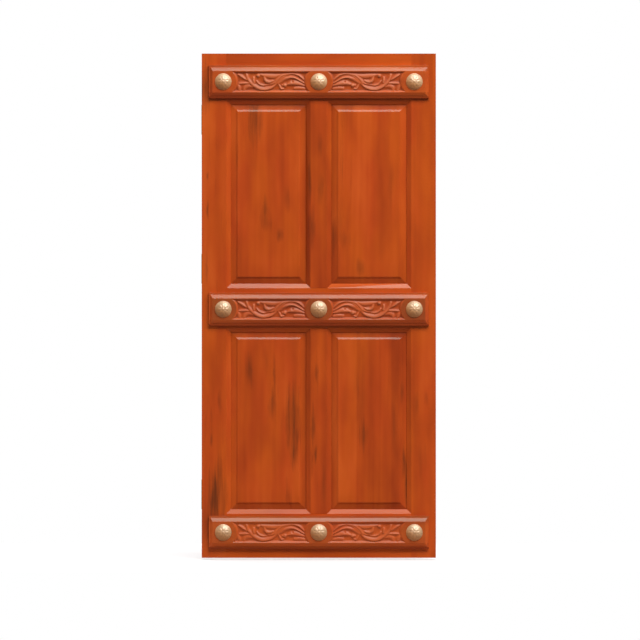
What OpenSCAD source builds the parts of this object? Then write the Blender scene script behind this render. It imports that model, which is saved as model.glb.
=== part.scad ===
// A teak door leaf: two stiles, three rails and two mullions hold four raised panels.
// Three carved bars with brass bosses lie across the front, and three butt hinges carry
// the leaf at its left edge. The origin is the middle of the leaf's bottom edge, in the
// plane of its front face. X runs to the right, Y to the back and Z up.

/* [Leaf] */
// Width of the leaf
leaf_w = 991; // [860:1:1220]
// Height of the leaf
leaf_h = 2134; // [1980:1:2440]
// Thickness of stiles and rails
leaf_t = 40; // [38:1:50]

/* [Stiles and rails] */
// Width of a stile, up to the edge of its moulding
stile_w = 104; // [95:1:130]
// Width of a mullion, between the edges of its mouldings
mullion_w = 69; // [60:1:110]
// Height of the top rail
top_rail_h = 197; // [185:1:240]
// Height of the middle rail
middle_rail_h = 168; // [155:1:220]
// Height of the bottom rail
bottom_rail_h = 186; // [180:1:260]
// Height of the middle rail's underside above the leaf's bottom edge
middle_rail_z = 973; // [850:1:1100]
// Width of the sloped moulding round each opening
moulding_w = 19; // [17:0.5:24]
// Depth of the sloped moulding
moulding_d = 12; // [9:0.5:12.5]

/* [Joinery] */
// Width of the groove that holds the panels
groove_w = 10; // [8:0.5:11]
// Depth of that groove
groove_d = 14; // [11:0.5:15]
// Thickness of a tenon
tenon_t = 13; // [10:0.5:15]
// Shoulder above and below a rail's tenon
tenon_shoulder = 25; // [15:1:30]
// Length of a mullion's stub tenon
stub_length = 30; // [20:1:36]
// Shoulder at each side of a mullion's stub tenon
stub_shoulder = 8; // [5:0.5:14]
// Glue line around a tenon
glue_line = 0.1; // [0.05:0.05:0.3]
// Diameter of a peg
peg_d = 8; // [6:0.5:10]
// Distance of a peg from its tenon's upper or lower edge
peg_edge = 36; // [20:1:45]
// Clearance around a peg or a boss's shank
peg_play = 0.05; // [0.02:0.01:0.1]

/* [Panels] */
// Clearance between a panel's tongue and the groove's sides
panel_play = 0.2; // [0.1:0.05:0.4]
// Room for the panel to swell, from tongue edge to groove bottom
swell_gap = 2; // [1:0.5:3]
// Width of the shallow slope round the panel
slope_w = 21.5; // [15:0.5:30]
// Rise of the shallow slope
slope_rise = 4.5; // [3:0.5:6]
// Width of the step up to the raised field
step_w = 8; // [4:0.5:10]
// Height of that step
step_rise = 4.5; // [2:0.5:5]

/* [Carved bars] */
// Height of a bar
bar_h = 140; // [130:1:150]
// Thickness of a bar
bar_t = 22; // [20:0.5:28]
// Distance from the leaf's side edge to a bar's end
bar_margin = 30.5; // [20:0.5:36]
// Drop of the top bar's middle line below the leaf's top edge
top_bar_drop = 120; // [105:1:124]
// Drop of the middle bar's middle line below the middle of its rail
middle_bar_drop = 5; // [0:1:7]
// Height of the bottom bar's middle line above the leaf's bottom edge
bottom_bar_rise = 108; // [85:1:112]
// Thickness of the low ledge round a bar
ledge_t = 12.5; // [9:0.5:14]
// Width of the ledge along the top and bottom
ledge_w = 8.5; // [5:0.5:10]
// Width of the ledge at the ends
ledge_end_w = 5; // [3:0.5:8]
// Width of the bevel along the top and bottom
bevel_w = 16; // [12:0.5:18]
// Width of the bevel at the ends
bevel_end_w = 10.5; // [8:0.5:14]
// Height of a carved recess at the face
recess_h = 87; // [78:1:89]
// Depth of a carved recess
recess_d = 7; // [5:0.5:9]
// Width of the recess's sloped walls
wall_w = 9; // [6:0.5:12]
// Radius of the round land under a boss
land_r = 56; // [50:1:64]
// Height of the carving above the recess's floor, against the drawn height
relief = 1; // [0.7:0.05:1]

/* [Bosses] */
// Diameter of a boss
boss_d = 70; // [56:1:78]
// Height of a boss
boss_h = 17; // [14:0.5:22]
// Thickness of the boss's rim
rim_t = 2; // [1.5:0.1:3]
// Ledge between the rim's edge and the dome
rim_ledge = 1; // [0.5:0.1:3]
// Thickness of the boss's shell
shell_t = 2.4; // [2:0.1:3]
// Distance from a bar's end to the outer boss's middle
boss_inset = 61; // [56:1:68]
// Petals round the dome
petal_count = 8; // [6:1:10]
// Radius of the ball that shapes a petal
petal_r = 9; // [7:0.5:10]
// How far a petal stands above the dome
petal_rise = 1.6; // [1:0.1:2.4]
// Distance of the petals from the boss's middle
petal_ring_r = 21; // [19:0.5:24]
// Diameter of the shank
shank_d = 8; // [6:0.5:9]
// Length of the shank in the frame
shank_bite = 12; // [8:0.5:12.5]

/* [Hinges] */
// Height of a hinge
hinge_h = 125; // [115:1:150]
// Knuckles in a hinge
knuckle_count = 5; // [3:2:7]
// Radius of the knuckles
knuckle_r = 6; // [5.5:0.1:6.4]
// Gap between neighbouring knuckles
knuckle_gap = 0.3; // [0.2:0.05:0.5]
// Diameter of the pin
pin_d = 6; // [5:0.1:7]
// Running clearance around the pin
pin_play = 0.05; // [0.03:0.01:0.08]
// Diameter of the pin's head
pin_head_d = 10; // [9:0.5:12]
// Height of the pin's head
pin_head_h = 3; // [2:0.5:4]
// Thickness of a plate
plate_t = 3; // [2.8:0.1:3.5]
// Reach of a plate into the leaf's edge, from the back face
plate_reach = 30; // [28:0.5:34]
// Gap between the leaf's edge and the frame
door_gap = 1.5; // [1:0.1:2.5]
// Gap between the two plates of a closed hinge
plate_gap = 1.6; // [1.2:0.1:2]
// Distance of the pin's middle behind the leaf's back face
pin_throw = 7; // [7:0.1:9]
// Room around a plate in its recess and around the other plate's knuckles
plate_play = 0.4; // [0.2:0.05:0.6]
// Distance from a rail's edge to the hinge next to it
hinge_set = 20; // [10:1:60]

/* [Hinge screws] */
// Diameter of a screw
screw_d = 4.8; // [4:0.1:5.2]
// Diameter of a screw's head
screw_head_d = 8.4; // [8:0.1:9]
// Length of a screw
screw_length = 32; // [25:1:40]
// Play around a screw
screw_play = 0.1; // [0.05:0.05:0.2]
// Screws on a plate, in two staggered rows
screw_count = 4; // [2:2:4]
// Distance between screws along the hinge
screw_pitch = 32; // [28:1:33]
// Distance of the screws' outer row from the leaf's back face
outer_row = 9; // [8:0.5:10]
// Distance between the two rows of screws
row_gap = 12; // [10:0.5:13]

/* [Hidden] */
$fn = 64;
teak = [0.68, 0.28, 0.11];
light_teak = [0.74, 0.33, 0.14];
carved_teak = [0.71, 0.31, 0.14];
peg_teak = [0.55, 0.27, 0.13];
brass = [0.80, 0.64, 0.38];

// Cuts run past the surface by this much, and joined solids overlap by it
past = 1;

half_w = leaf_w / 2;
middle_y = leaf_t / 2;
open_x_out = half_w - stile_w;
open_x_in = mullion_w / 2;
open_w = open_x_out - open_x_in;
upper_z = [middle_rail_z + middle_rail_h, leaf_h - top_rail_h];
lower_z = [bottom_rail_h, middle_rail_z];
top_rail_span = [upper_z[1], leaf_h];
middle_rail_span = [lower_z[1], upper_z[0]];
bottom_rail_span = [0, lower_z[0]];
rail_spans = [top_rail_span, middle_rail_span, bottom_rail_span];

stub_w = mullion_w - 2 * stub_shoulder;
peg_r = peg_d / 2;
peg_x = half_w - stile_w / 2;

bar_w = leaf_w - 2 * bar_margin;
top_bar_z = leaf_h - top_bar_drop;
middle_bar_z = middle_rail_z + middle_rail_h / 2 - middle_bar_drop;
bottom_bar_z = bottom_bar_rise;
bar_zs = [top_bar_z, middle_bar_z, bottom_bar_z];
boss_x = bar_w / 2 - boss_inset;
shank_r = shank_d / 2;

cap_r = boss_d / 2 - rim_ledge;
cap_h = boss_h - rim_t;
dome_r = (cap_r * cap_r + cap_h * cap_h) / (2 * cap_h);
dome_z = boss_h - dome_r;

// In the hinge's own frame, with its pin on Z, the frame plate's outer face, the leaf's edge
// and the door plate's outer face: both plates are let into the leaf's edge
jamb_x = -knuckle_r;
edge_x = jamb_x + door_gap;
seat_x = jamb_x + plate_t + plate_gap;
pin_x = -half_w - edge_x;
pin_y = leaf_t + pin_throw;
pin_r = pin_d / 2;
bore_r = pin_r + pin_play;
knuckle_pitch = hinge_h / knuckle_count;
knuckle_clear_r = knuckle_r + plate_play;
top_hinge_z = upper_z[1] - hinge_set - hinge_h / 2;
middle_hinge_z = upper_z[0] + hinge_set + hinge_h / 2;
bottom_hinge_z = lower_z[0] + hinge_set + hinge_h / 2;
hinge_zs = [top_hinge_z, middle_hinge_z, bottom_hinge_z];
screw_hole_r = screw_d / 2 + screw_play;
screw_head_r = screw_head_d / 2;
screw_sink = screw_head_r - screw_d / 2;
screw_tip = screw_d;
slot_w = 1.2;
slot_d = 1.2;
// Places of the screws on a plate: distance from the back face, height on the hinge.
// The frame plate's rows are staggered the other way, so that no two heads face each other.
function screw_places(for_frame) = [for (i = [0:screw_count - 1])
    [outer_row + ((i + (for_frame ? 1 : 0)) % 2) * row_gap, (i - (screw_count - 1) / 2) * screw_pitch]];

// The carving is drawn on this length and height, and stretched to fit the recess
drawn_l = 292;
drawn_h = 87;
carve_mid_x = boss_x / 2;
carve_scale_x = (boss_x - 2 * land_r) / drawn_l;
carve_scale_z = recess_h / drawn_h;
carve_root = 1.5;
stroke_steps = 3;
// Section of a carved stroke: share of its half width, share of its height
stroke_section = [[-1, 0], [-0.62, 0.78], [0, 1], [0.62, 0.78], [1, 0]];
// Carved strokes of the left recess, each a list of [along, up, half width, height],
// counted from the middle of the recess
strokes = [
    // stem that swings down from the left and up over the arch
    [[-112, 33, 2, 3], [-98, 15, 4.5, 5], [-74, -9, 6, 6], [-38, -28, 6.5, 6.4], [-2, -22, 6, 6],
        [19, -4, 5, 5.6], [48, 18, 5, 6], [86, 27, 5, 6], [119, 17, 4.5, 5.6], [146, -3, 2.5, 4]],
    // second ridge under the arch
    [[54, -4, 2, 3], [70, 10, 3.6, 5], [90, 15, 3.8, 5.4], [116, 5, 3.6, 5], [144, -12, 2.2, 3.4]],
    // curl inside the stem
    [[-66, 16, 2.4, 3.4], [-66, 2, 3.6, 4.6], [-52, -10, 4, 5], [-32, -13, 3.8, 5], [-12, -8, 2.2, 3.4]],
    // leaf beside the bud
    [[-32, 26, 2, 3], [-26, 13, 5, 5.6], [-10, 4, 6, 6], [12, 5, 2.6, 3.6]],
    // broad leaf that runs to the top of the arch
    [[-16, 27, 2.4, 3], [4, 22, 6, 4.6], [28, 25, 5, 4.4], [48, 34, 2.4, 3]],
    // sprig beside the left boss
    [[-137, 29, 2, 2.8], [-125, 21, 4.6, 5], [-110, 9, 2.6, 3.6]],
    [[-136, 3, 2, 2.8], [-120, 1, 5, 5], [-100, -5, 2.6, 3.6]],
    [[-138, -20, 2.4, 3], [-122, -20, 5.6, 5], [-100, -22, 5, 5], [-76, -29, 2.4, 3.6]],
    // hook and leaf under the arch
    [[34, -12, 2.4, 3.4], [40, -24, 4, 5], [52, -31, 2.4, 3.4]],
    [[70, -10, 3.4, 4.4], [88, -6, 6.6, 6.2], [114, -10, 6, 6], [142, -21, 2.6, 3.6]],
    [[72, -24, 2.4, 3.4], [88, -26, 5, 5], [108, -31, 2.4, 3.2]],
    [[112, -25, 2.4, 3.4], [126, -28, 4, 4.4], [140, -33, 2, 3]]
];
// Carved balls: the bud in the curl and the one at the leaf's root
balls = [[-54, 27, 8.5], [58, -14, 7.5]];
// Share of its radius that a carved ball is sunk in the floor
ball_sink = 0.3;

places = ["left", "centre", "right"];
levels = ["top", "middle", "bottom"];
hinge_pieces = ["door_plate", "frame_plate", "pin", "screws"];

// Block between two corners
module block(low, high) {
    translate(low) cube(high - low);
}

// Profile of [back, up] points carried along X
module along_x(length, profile) {
    rotate([90, 0, 90]) linear_extrude(length) polygon(profile);
}

// Outline of [right, up] points carried from the front to the back
module front_to_back(front, back, outline) {
    translate([0, back, 0]) rotate([90, 0, 0]) linear_extrude(back - front) polygon(outline);
}

// Moulding strip with its panel groove, mitred at both ends, that grows up from its edge
module moulding(length) {
    lip = (leaf_t - groove_w) / 2;
    profile = [
        [0, -past], [leaf_t, -past], [leaf_t, 0], [leaf_t - moulding_d, moulding_w],
        [leaf_t - lip, moulding_w], [leaf_t - lip, moulding_w - groove_d],
        [lip, moulding_w - groove_d], [lip, moulding_w], [moulding_d, moulding_w], [0, 0]
    ];
    top = moulding_w + past;
    intersection() {
        along_x(length, profile);
        front_to_back(-past, leaf_t + past,
            [[0, -2 * past], [length, -2 * past], [length, 0], [length - top, top], [top, top], [0, 0]]);
    }
}

// Moulding on the upper edge of a rail, and on its lower edge
module rail_moulding(z, up) {
    for (x = [-open_x_out, open_x_in])
        translate([x, 0, z]) mirror([0, 0, up ? 0 : 1]) moulding(open_w);
}

// Moulding on the right-hand edge of an upright that ends at x
module upright_moulding(x, span) {
    translate([x, 0, span[0]]) mirror([1, 0, 0]) rotate([0, -90, 0]) moulding(span[1] - span[0]);
}

// A rail's tenon or its mortise at the left, grown by the given play
module tenon(span, play) {
    block([-half_w - (play > 0 ? past : 0), middle_y - tenon_t / 2 - play, span[0] + tenon_shoulder - play],
        [-open_x_out + past, middle_y + tenon_t / 2 + play, span[1] - tenon_shoulder + play]);
}

// A mullion's stub tenon or its mortise, running up from z, grown by the given play
module stub(z, play) {
    block([-stub_w / 2 - play, middle_y - tenon_t / 2 - play, z - past],
        [stub_w / 2 + play, middle_y + tenon_t / 2 + play, z + stub_length + play]);
}

// The two pegs of a rail's left-hand joint, or their holes
module joint_pegs(span, play) {
    inset = tenon_shoulder + peg_edge;
    end = play > 0 ? past : 0;
    for (z = [span[0] + inset, span[1] - inset])
        translate([-peg_x, leaf_t + end, z])
            rotate([90, 0, 0]) cylinder(r = peg_r + play, h = leaf_t + 2 * end);
}

// Holes in the frame for the bosses' shanks on the line x
module shank_holes(x) {
    for (z = bar_zs)
        translate([x, shank_bite + peg_play, z])
            rotate([90, 0, 0]) cylinder(r = shank_r + peg_play, h = shank_bite + peg_play + past);
}

// Left-hand upright with its mouldings, mortises and holes
module stile() {
    difference() {
        union() {
            block([-half_w, 0, 0], [-open_x_out, leaf_t, leaf_h]);
            for (span = [upper_z, lower_z]) upright_moulding(-open_x_out, span);
        }
        for (span = rail_spans) {
            tenon(span, glue_line);
            joint_pegs(span, peg_play);
        }
        shank_holes(-boss_x);
    }
}

// Carries a child from the hinge's own frame, with its pin on Z, to a hinge's place
module at_hinge(z) {
    translate([pin_x, pin_y, z]) children();
}

// Room in the stile for the two plates and the door plate's screws
module hinge_recess() {
    block([edge_x - past, -pin_throw - plate_reach - plate_play, -hinge_h / 2 - plate_play],
        [seat_x + plate_t, -pin_throw + past, hinge_h / 2 + plate_play]);
    for (place = screw_places(false))
        translate([seat_x, -pin_throw - place[0], place[1]]) rotate([0, 90, 0])
            cylinder(r = screw_hole_r, h = screw_length + screw_play);
}

module hinge_stile() {
    color(teak) difference() {
        stile();
        for (z = hinge_zs) at_hinge(z) hinge_recess();
    }
}

module closing_stile() {
    color(teak) mirror([1, 0, 0]) stile();
}

// Rail between the stiles, with tenons at both ends and stub mortises for the mullions
module rail(span, mullion_above, mullion_below) {
    color(teak) difference() {
        union() {
            block([-open_x_out, 0, span[0]], [open_x_out, leaf_t, span[1]]);
            for (side = [0, 1]) mirror([side, 0, 0]) tenon(span, 0);
            if (mullion_above) rail_moulding(span[1], true);
            if (mullion_below) rail_moulding(span[0], false);
        }
        for (side = [0, 1]) mirror([side, 0, 0]) joint_pegs(span, peg_play);
        if (mullion_above) translate([0, 0, span[1]]) mirror([0, 0, 1]) stub(0, glue_line);
        if (mullion_below) stub(span[0], glue_line);
        shank_holes(0);
    }
}

// Upright between two rails, with a stub tenon at each end
module mullion(span) {
    color(teak) union() {
        block([-open_x_in, 0, span[0]], [open_x_in, leaf_t, span[1]]);
        for (side = [0, 1]) mirror([side, 0, 0]) upright_moulding(open_x_in, span);
        stub(span[1], 0);
        translate([0, 0, span[0]]) mirror([0, 0, 1]) stub(0, 0);
    }
}

// Half of a panel's section, from its middle to the edge, as [across, above the middle plane]
function panel_half(opening) = let (
    sight = opening / 2 - moulding_w,
    tongue = groove_w / 2 - panel_play,
    foot = sight - slope_w,
    brow = foot - step_w
) [
    [brow, tongue + slope_rise + step_rise],
    [foot, tongue + slope_rise],
    [sight, tongue],
    [sight + groove_d - swell_gap, tongue]
];

// Whole section of a panel raised on both faces
function panel_section(opening) = let (half = panel_half(opening), n = len(half)) concat(
    [for (i = [0:n - 1]) half[i]],
    [for (i = [n - 1:-1:0]) [half[i][0], -half[i][1]]],
    [for (i = [0:n - 1]) [-half[i][0], -half[i][1]]],
    [for (i = [n - 1:-1:0]) [-half[i][0], half[i][1]]]
);

// Raised panel in the opening left or right of the mullion
module panel(side, span) {
    tall = span[1] - span[0];
    across = open_w + 2 * past;
    upright = tall + 2 * past;
    color(light_teak)
        translate([side * (open_x_in + open_x_out) / 2, middle_y, (span[0] + span[1]) / 2])
            intersection() {
                translate([0, 0, -upright / 2]) linear_extrude(upright) polygon(panel_section(open_w));
                translate([-across / 2, 0, 0])
                    along_x(across, [for (point = panel_section(tall)) [point[1], point[0]]]);
            }
}

// Block with bevelled sides that rises from the ledge to the bar's face
module bar_crown() {
    long = bar_w / 2 - ledge_end_w;
    high = bar_h / 2 - ledge_w;
    foot = -ledge_t + past;
    along_section = [
        [-long, foot], [long, foot], [long, -ledge_t], [long - bevel_end_w, -bar_t],
        [bevel_end_w - long, -bar_t], [-long, -ledge_t]
    ];
    up_section = [
        [foot, -high], [foot, high], [-ledge_t, high], [-bar_t, high - bevel_w],
        [-bar_t, bevel_w - high], [-ledge_t, -high]
    ];
    intersection() {
        translate([0, 0, -high - past]) linear_extrude(2 * (high + past)) polygon(along_section);
        translate([-long - past, 0, 0]) along_x(2 * (long + past), up_section);
    }
}

// Round land that the recess leaves standing under a boss
module boss_land(x) {
    spread = wall_w / recess_d;
    translate([x, past - bar_t + recess_d, 0]) rotate([90, 0, 0])
        cylinder(r1 = land_r + wall_w + past * spread, r2 = land_r - past * spread, h = recess_d + 2 * past);
}

// Carved recess between the left and the middle boss
module recess() {
    spread = wall_w / recess_d;
    brow = recess_h / 2;
    floor_y = -bar_t + recess_d;
    section = [
        [-bar_t - past, -brow - past * spread], [-bar_t - past, brow + past * spread],
        [floor_y, brow - wall_w], [floor_y, wall_w - brow]
    ];
    difference() {
        translate([-boss_x, 0, 0]) along_x(boss_x, section);
        for (x = [-boss_x, 0]) boss_land(x);
    }
}

// Point on the smooth line through a stroke's points, between point i and the next
function held(points, i) = points[max(0, min(len(points) - 1, i))];
function between(points, i, t) = let (
    a = held(points, i - 1), b = held(points, i), c = held(points, i + 1), d = held(points, i + 2)
) b + (c - a) * t / 2 + (2 * a - 5 * b + 4 * c - d) * t * t / 2 + (3 * b - a - 3 * c + d) * t * t * t / 2;
function stroke_line(points) = concat(
    [for (i = [0:len(points) - 2]) for (k = [0:stroke_steps - 1]) between(points, i, k / stroke_steps)],
    [points[len(points) - 1]]
);

// One section of a stroke: its root lies below the recess's floor
function stroke_ring(line, i) = let (
    here = line[i],
    ahead = held(line, i + 1) - held(line, i - 1),
    run = norm([ahead[0], ahead[1]]),
    side = [-ahead[1], ahead[0]] / run
) [for (s = stroke_section)
    let (out = s[0] * here[2], height = s[1] > 0 ? s[1] * here[3] * relief : -carve_root)
    [here[0] + side[0] * out, -height, here[1] + side[1] * out]];

// Tapered ridge along a stroke's points, from the recess's floor up
module stroke(points) {
    line = stroke_line([for (p = points) [p[0] * carve_scale_x, p[1] * carve_scale_z, p[2], p[3]]]);
    rings = len(line);
    n = len(stroke_section);
    vertices = [for (i = [0:rings - 1]) each stroke_ring(line, i)];
    sides = [for (i = [0:rings - 2]) for (k = [0:n - 1])
        [i * n + k, i * n + (k + 1) % n, (i + 1) * n + (k + 1) % n, (i + 1) * n + k]];
    first = [for (k = [n - 1:-1:0]) k];
    last = [for (k = [0:n - 1]) (rings - 1) * n + k];
    triangles = [for (f = sides) each [[f[0], f[1], f[2]], [f[0], f[2], f[3]]]];
    ends = [for (cap = [first, last]) for (k = [1:n - 2]) [cap[0], cap[k], cap[k + 1]]];
    polyhedron(vertices, concat(triangles, ends));
}

// All strokes and balls of the left recess
module carving() {
    translate([-carve_mid_x, -bar_t + recess_d, 0]) {
        for (points = strokes) stroke(points);
        for (ball = balls)
            translate([ball[0] * carve_scale_x, ball_sink * ball[2], ball[1] * carve_scale_z])
                sphere(r = ball[2] * relief);
    }
}

// Carved bar on its middle line at height z
module carved_bar(z) {
    color(carved_teak) translate([0, 0, z]) difference() {
        union() {
            difference() {
                union() {
                    block([-bar_w / 2, -ledge_t, -bar_h / 2], [bar_w / 2, 0, bar_h / 2]);
                    bar_crown();
                }
                for (side = [0, 1]) mirror([side, 0, 0]) recess();
            }
            for (side = [0, 1]) mirror([side, 0, 0]) carving();
        }
        for (x = [-boss_x, 0, boss_x])
            translate([x, past, 0]) rotate([90, 0, 0])
                cylinder(r = shank_r + peg_play, h = bar_t + 2 * past);
    }
}

// Hollow brass dome with petals and a shank, at the given place on a bar
module boss(x, z) {
    lift = asin(petal_ring_r / dome_r);
    color(brass) translate([x, -bar_t, z]) rotate([90, 0, 0]) union() {
        difference() {
            union() {
                cylinder(r = boss_d / 2, h = rim_t);
                intersection() {
                    union() {
                        translate([0, 0, dome_z]) sphere(r = dome_r);
                        for (i = [0:petal_count - 1])
                            translate([0, 0, dome_z]) rotate([0, lift, (i + 0.5) * 360 / petal_count])
                                translate([0, 0, dome_r + petal_rise - petal_r]) sphere(r = petal_r);
                        translate([0, 0, boss_h + petal_rise - petal_r]) sphere(r = petal_r);
                    }
                    translate([0, 0, rim_t / 2]) cylinder(r = boss_d, h = boss_d);
                }
            }
            intersection() {
                translate([0, 0, dome_z]) sphere(r = dome_r - shell_t);
                translate([0, 0, -past]) cylinder(r = cap_r - shell_t, h = boss_h);
            }
        }
        translate([0, 0, -bar_t - shank_bite])
            cylinder(r = shank_r, h = bar_t + shank_bite + boss_h - shell_t / 2);
    }
}

module rail_pegs(span) {
    color(peg_teak) for (side = [0, 1]) mirror([side, 0, 0]) joint_pegs(span, 0);
}

// Does the knuckle with this number belong to the frame plate?
function on_frame(i) = i % 2 == 0;

// Ring of a knuckle, or the room around it
module knuckle(i, r, gap) {
    translate([0, 0, i * knuckle_pitch - hinge_h / 2 + gap / 2]) cylinder(r = r, h = knuckle_pitch - gap);
}

// Hole for a countersunk screw that goes into the plate along X
module screw_hole() {
    rotate([0, 90, 0]) translate([0, 0, -past]) {
        cylinder(r = screw_hole_r, h = plate_t + 2 * past);
        cylinder(r1 = screw_hole_r + screw_sink + past, r2 = screw_hole_r, h = screw_sink + past);
    }
}

// Plate from x on, with the knuckles that are its own: the frame's or the door's
module hinge_plate(x, for_frame) {
    difference() {
        union() {
            difference() {
                block([x, -pin_throw - plate_reach, (knuckle_gap - hinge_h) / 2],
                    [x + plate_t, 0, (hinge_h - knuckle_gap) / 2]);
                for (i = [0:knuckle_count - 1])
                    if (on_frame(i) != for_frame) knuckle(i, knuckle_clear_r, -knuckle_gap);
            }
            for (i = [0:knuckle_count - 1])
                if (on_frame(i) == for_frame) knuckle(i, knuckle_r, knuckle_gap);
        }
        translate([0, 0, -hinge_h / 2 - past]) cylinder(r = bore_r, h = hinge_h + 2 * past);
        for (place = screw_places(for_frame))
            translate([for_frame ? x + plate_t : x, -pin_throw - place[0], place[1]])
                mirror([for_frame ? 1 : 0, 0, 0]) screw_hole();
    }
}

module door_plate(z) {
    color(brass) at_hinge(z) hinge_plate(seat_x, false);
}

module frame_plate(z) {
    color(brass) at_hinge(z) hinge_plate(jamb_x, true);
}

module hinge_pin(z) {
    color(brass) at_hinge(z) union() {
        translate([0, 0, -hinge_h / 2]) cylinder(r = pin_r, h = hinge_h);
        translate([0, 0, hinge_h / 2 - knuckle_gap / 2]) cylinder(d = pin_head_d, h = pin_head_h);
    }
}

// Countersunk screws of a door plate, driven into the stile
module hinge_screws(z) {
    shank = screw_length - screw_tip;
    color(brass) at_hinge(z) for (place = screw_places(false))
        translate([seat_x, -pin_throw - place[0], place[1]]) rotate([0, 90, 0]) difference() {
            union() {
                cylinder(r1 = screw_head_r, r2 = screw_d / 2, h = screw_sink);
                cylinder(r = screw_d / 2, h = shank);
                translate([0, 0, shank]) cylinder(r1 = screw_d / 2, r2 = 0, h = screw_tip);
            }
            translate([-screw_head_d, -slot_w / 2, -past]) cube([2 * screw_head_d, slot_w, slot_d + past]);
        }
}

hinge_stile();
closing_stile();
rail(top_rail_span, false, true);  // top_rail
rail(middle_rail_span, true, true);  // middle_rail
rail(bottom_rail_span, true, false);  // bottom_rail
mullion(upper_z);  // upper_mullion
mullion(lower_z);  // lower_mullion
panel(-1, upper_z);  // upper_left_panel
panel(1, upper_z);  // upper_right_panel
panel(-1, lower_z);  // lower_left_panel
panel(1, lower_z);  // lower_right_panel
for (i = [0:2]) {
    carved_bar(bar_zs[i]);
    rail_pegs(rail_spans[i]);
    for (k = [0:2])
        boss((k - 1) * boss_x, bar_zs[i]);
    door_plate(hinge_zs[i]);
    frame_plate(hinge_zs[i]);
    hinge_pin(hinge_zs[i]);
    hinge_screws(hinge_zs[i]);
}
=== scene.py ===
import math

import bpy
import numpy as np
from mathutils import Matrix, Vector


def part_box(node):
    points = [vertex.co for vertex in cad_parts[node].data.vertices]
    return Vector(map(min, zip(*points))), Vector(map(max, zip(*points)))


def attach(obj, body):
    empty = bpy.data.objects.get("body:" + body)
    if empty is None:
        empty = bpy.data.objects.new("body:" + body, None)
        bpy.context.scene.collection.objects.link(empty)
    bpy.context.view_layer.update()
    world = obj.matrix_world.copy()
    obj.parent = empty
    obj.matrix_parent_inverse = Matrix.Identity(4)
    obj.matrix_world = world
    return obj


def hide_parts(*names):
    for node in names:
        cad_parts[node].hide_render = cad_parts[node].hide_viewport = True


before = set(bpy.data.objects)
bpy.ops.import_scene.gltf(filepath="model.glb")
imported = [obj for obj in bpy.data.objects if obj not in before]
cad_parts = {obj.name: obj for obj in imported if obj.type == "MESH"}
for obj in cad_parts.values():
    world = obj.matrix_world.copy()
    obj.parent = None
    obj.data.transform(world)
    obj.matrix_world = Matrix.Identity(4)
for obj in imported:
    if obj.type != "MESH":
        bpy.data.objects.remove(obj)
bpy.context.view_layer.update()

# Varnished teak door leaf with raised panels, carved bars and brass bosses.
# Lengths are in millimetres while a surface is worked out, and in metres in the meshes, the materials
# and the stage.

MM = 0.001
LEVELS = ("top", "middle", "bottom")
PLACES = ("left", "centre", "right")


# Sizes of the carved bars and bosses, as the solids have them
LEDGE_T = 12.5
LEDGE_W = 8.5
LEDGE_END_W = 5.0
BEVEL_W = 16.0
BEVEL_END_W = 10.5
RECESS_H = 87.0
RECESS_D = 7.0
WALL_W = 9.0
LAND_R = 56.0
BOSS_RIM_T = 2.0
BOSS_RIM_LEDGE = 1.0
BOSS_DOME_H = 17.0


def node_middle(name):
    """Middle of a node's box, in millimetres."""
    low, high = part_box(name)
    return [(a + b) / 2 / MM for a, b in zip(low, high)]


def node_size(name):
    """Size of a node's box, in millimetres."""
    low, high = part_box(name)
    return [(b - a) / MM for a, b in zip(low, high)]


# Meshes

# Edges that turn by more than this stay sharp
SHARP_ANGLE = math.radians(78)


def new_piece(name, points, faces, body, replaced):
    """A smooth closed mesh from points in millimetres, riding on a body in place of CAD nodes."""
    mesh = bpy.data.meshes.new(name)
    mesh.from_pydata((points * MM).tolist(), [], faces)
    mesh.polygons.foreach_set("use_smooth", np.ones(len(mesh.polygons), bool))
    mesh.update()
    mesh.set_sharp_from_angle(angle=SHARP_ANGLE)
    piece = bpy.data.objects.new(name, mesh)
    bpy.context.scene.collection.objects.link(piece)
    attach(piece, body)
    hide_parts(*replaced)
    return piece


def grid_quads(rows, columns, wrap=False):
    """Corner numbers of the quads of a grid of points, row after row."""
    row = np.arange(rows - 1)[:, None] * columns
    column = np.arange(columns if wrap else columns - 1)[None, :]
    right = (column + 1) % columns
    quads = np.stack([row + column, row + right, row + columns + right, row + columns + column], -1)
    return quads.reshape(-1, 4)


def smooth_step(t):
    """Rises from 0 to 1 with level ends as t goes from 0 to 1."""
    t = np.clip(t, 0, 1)
    return t * t * (3 - 2 * t)
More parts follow.
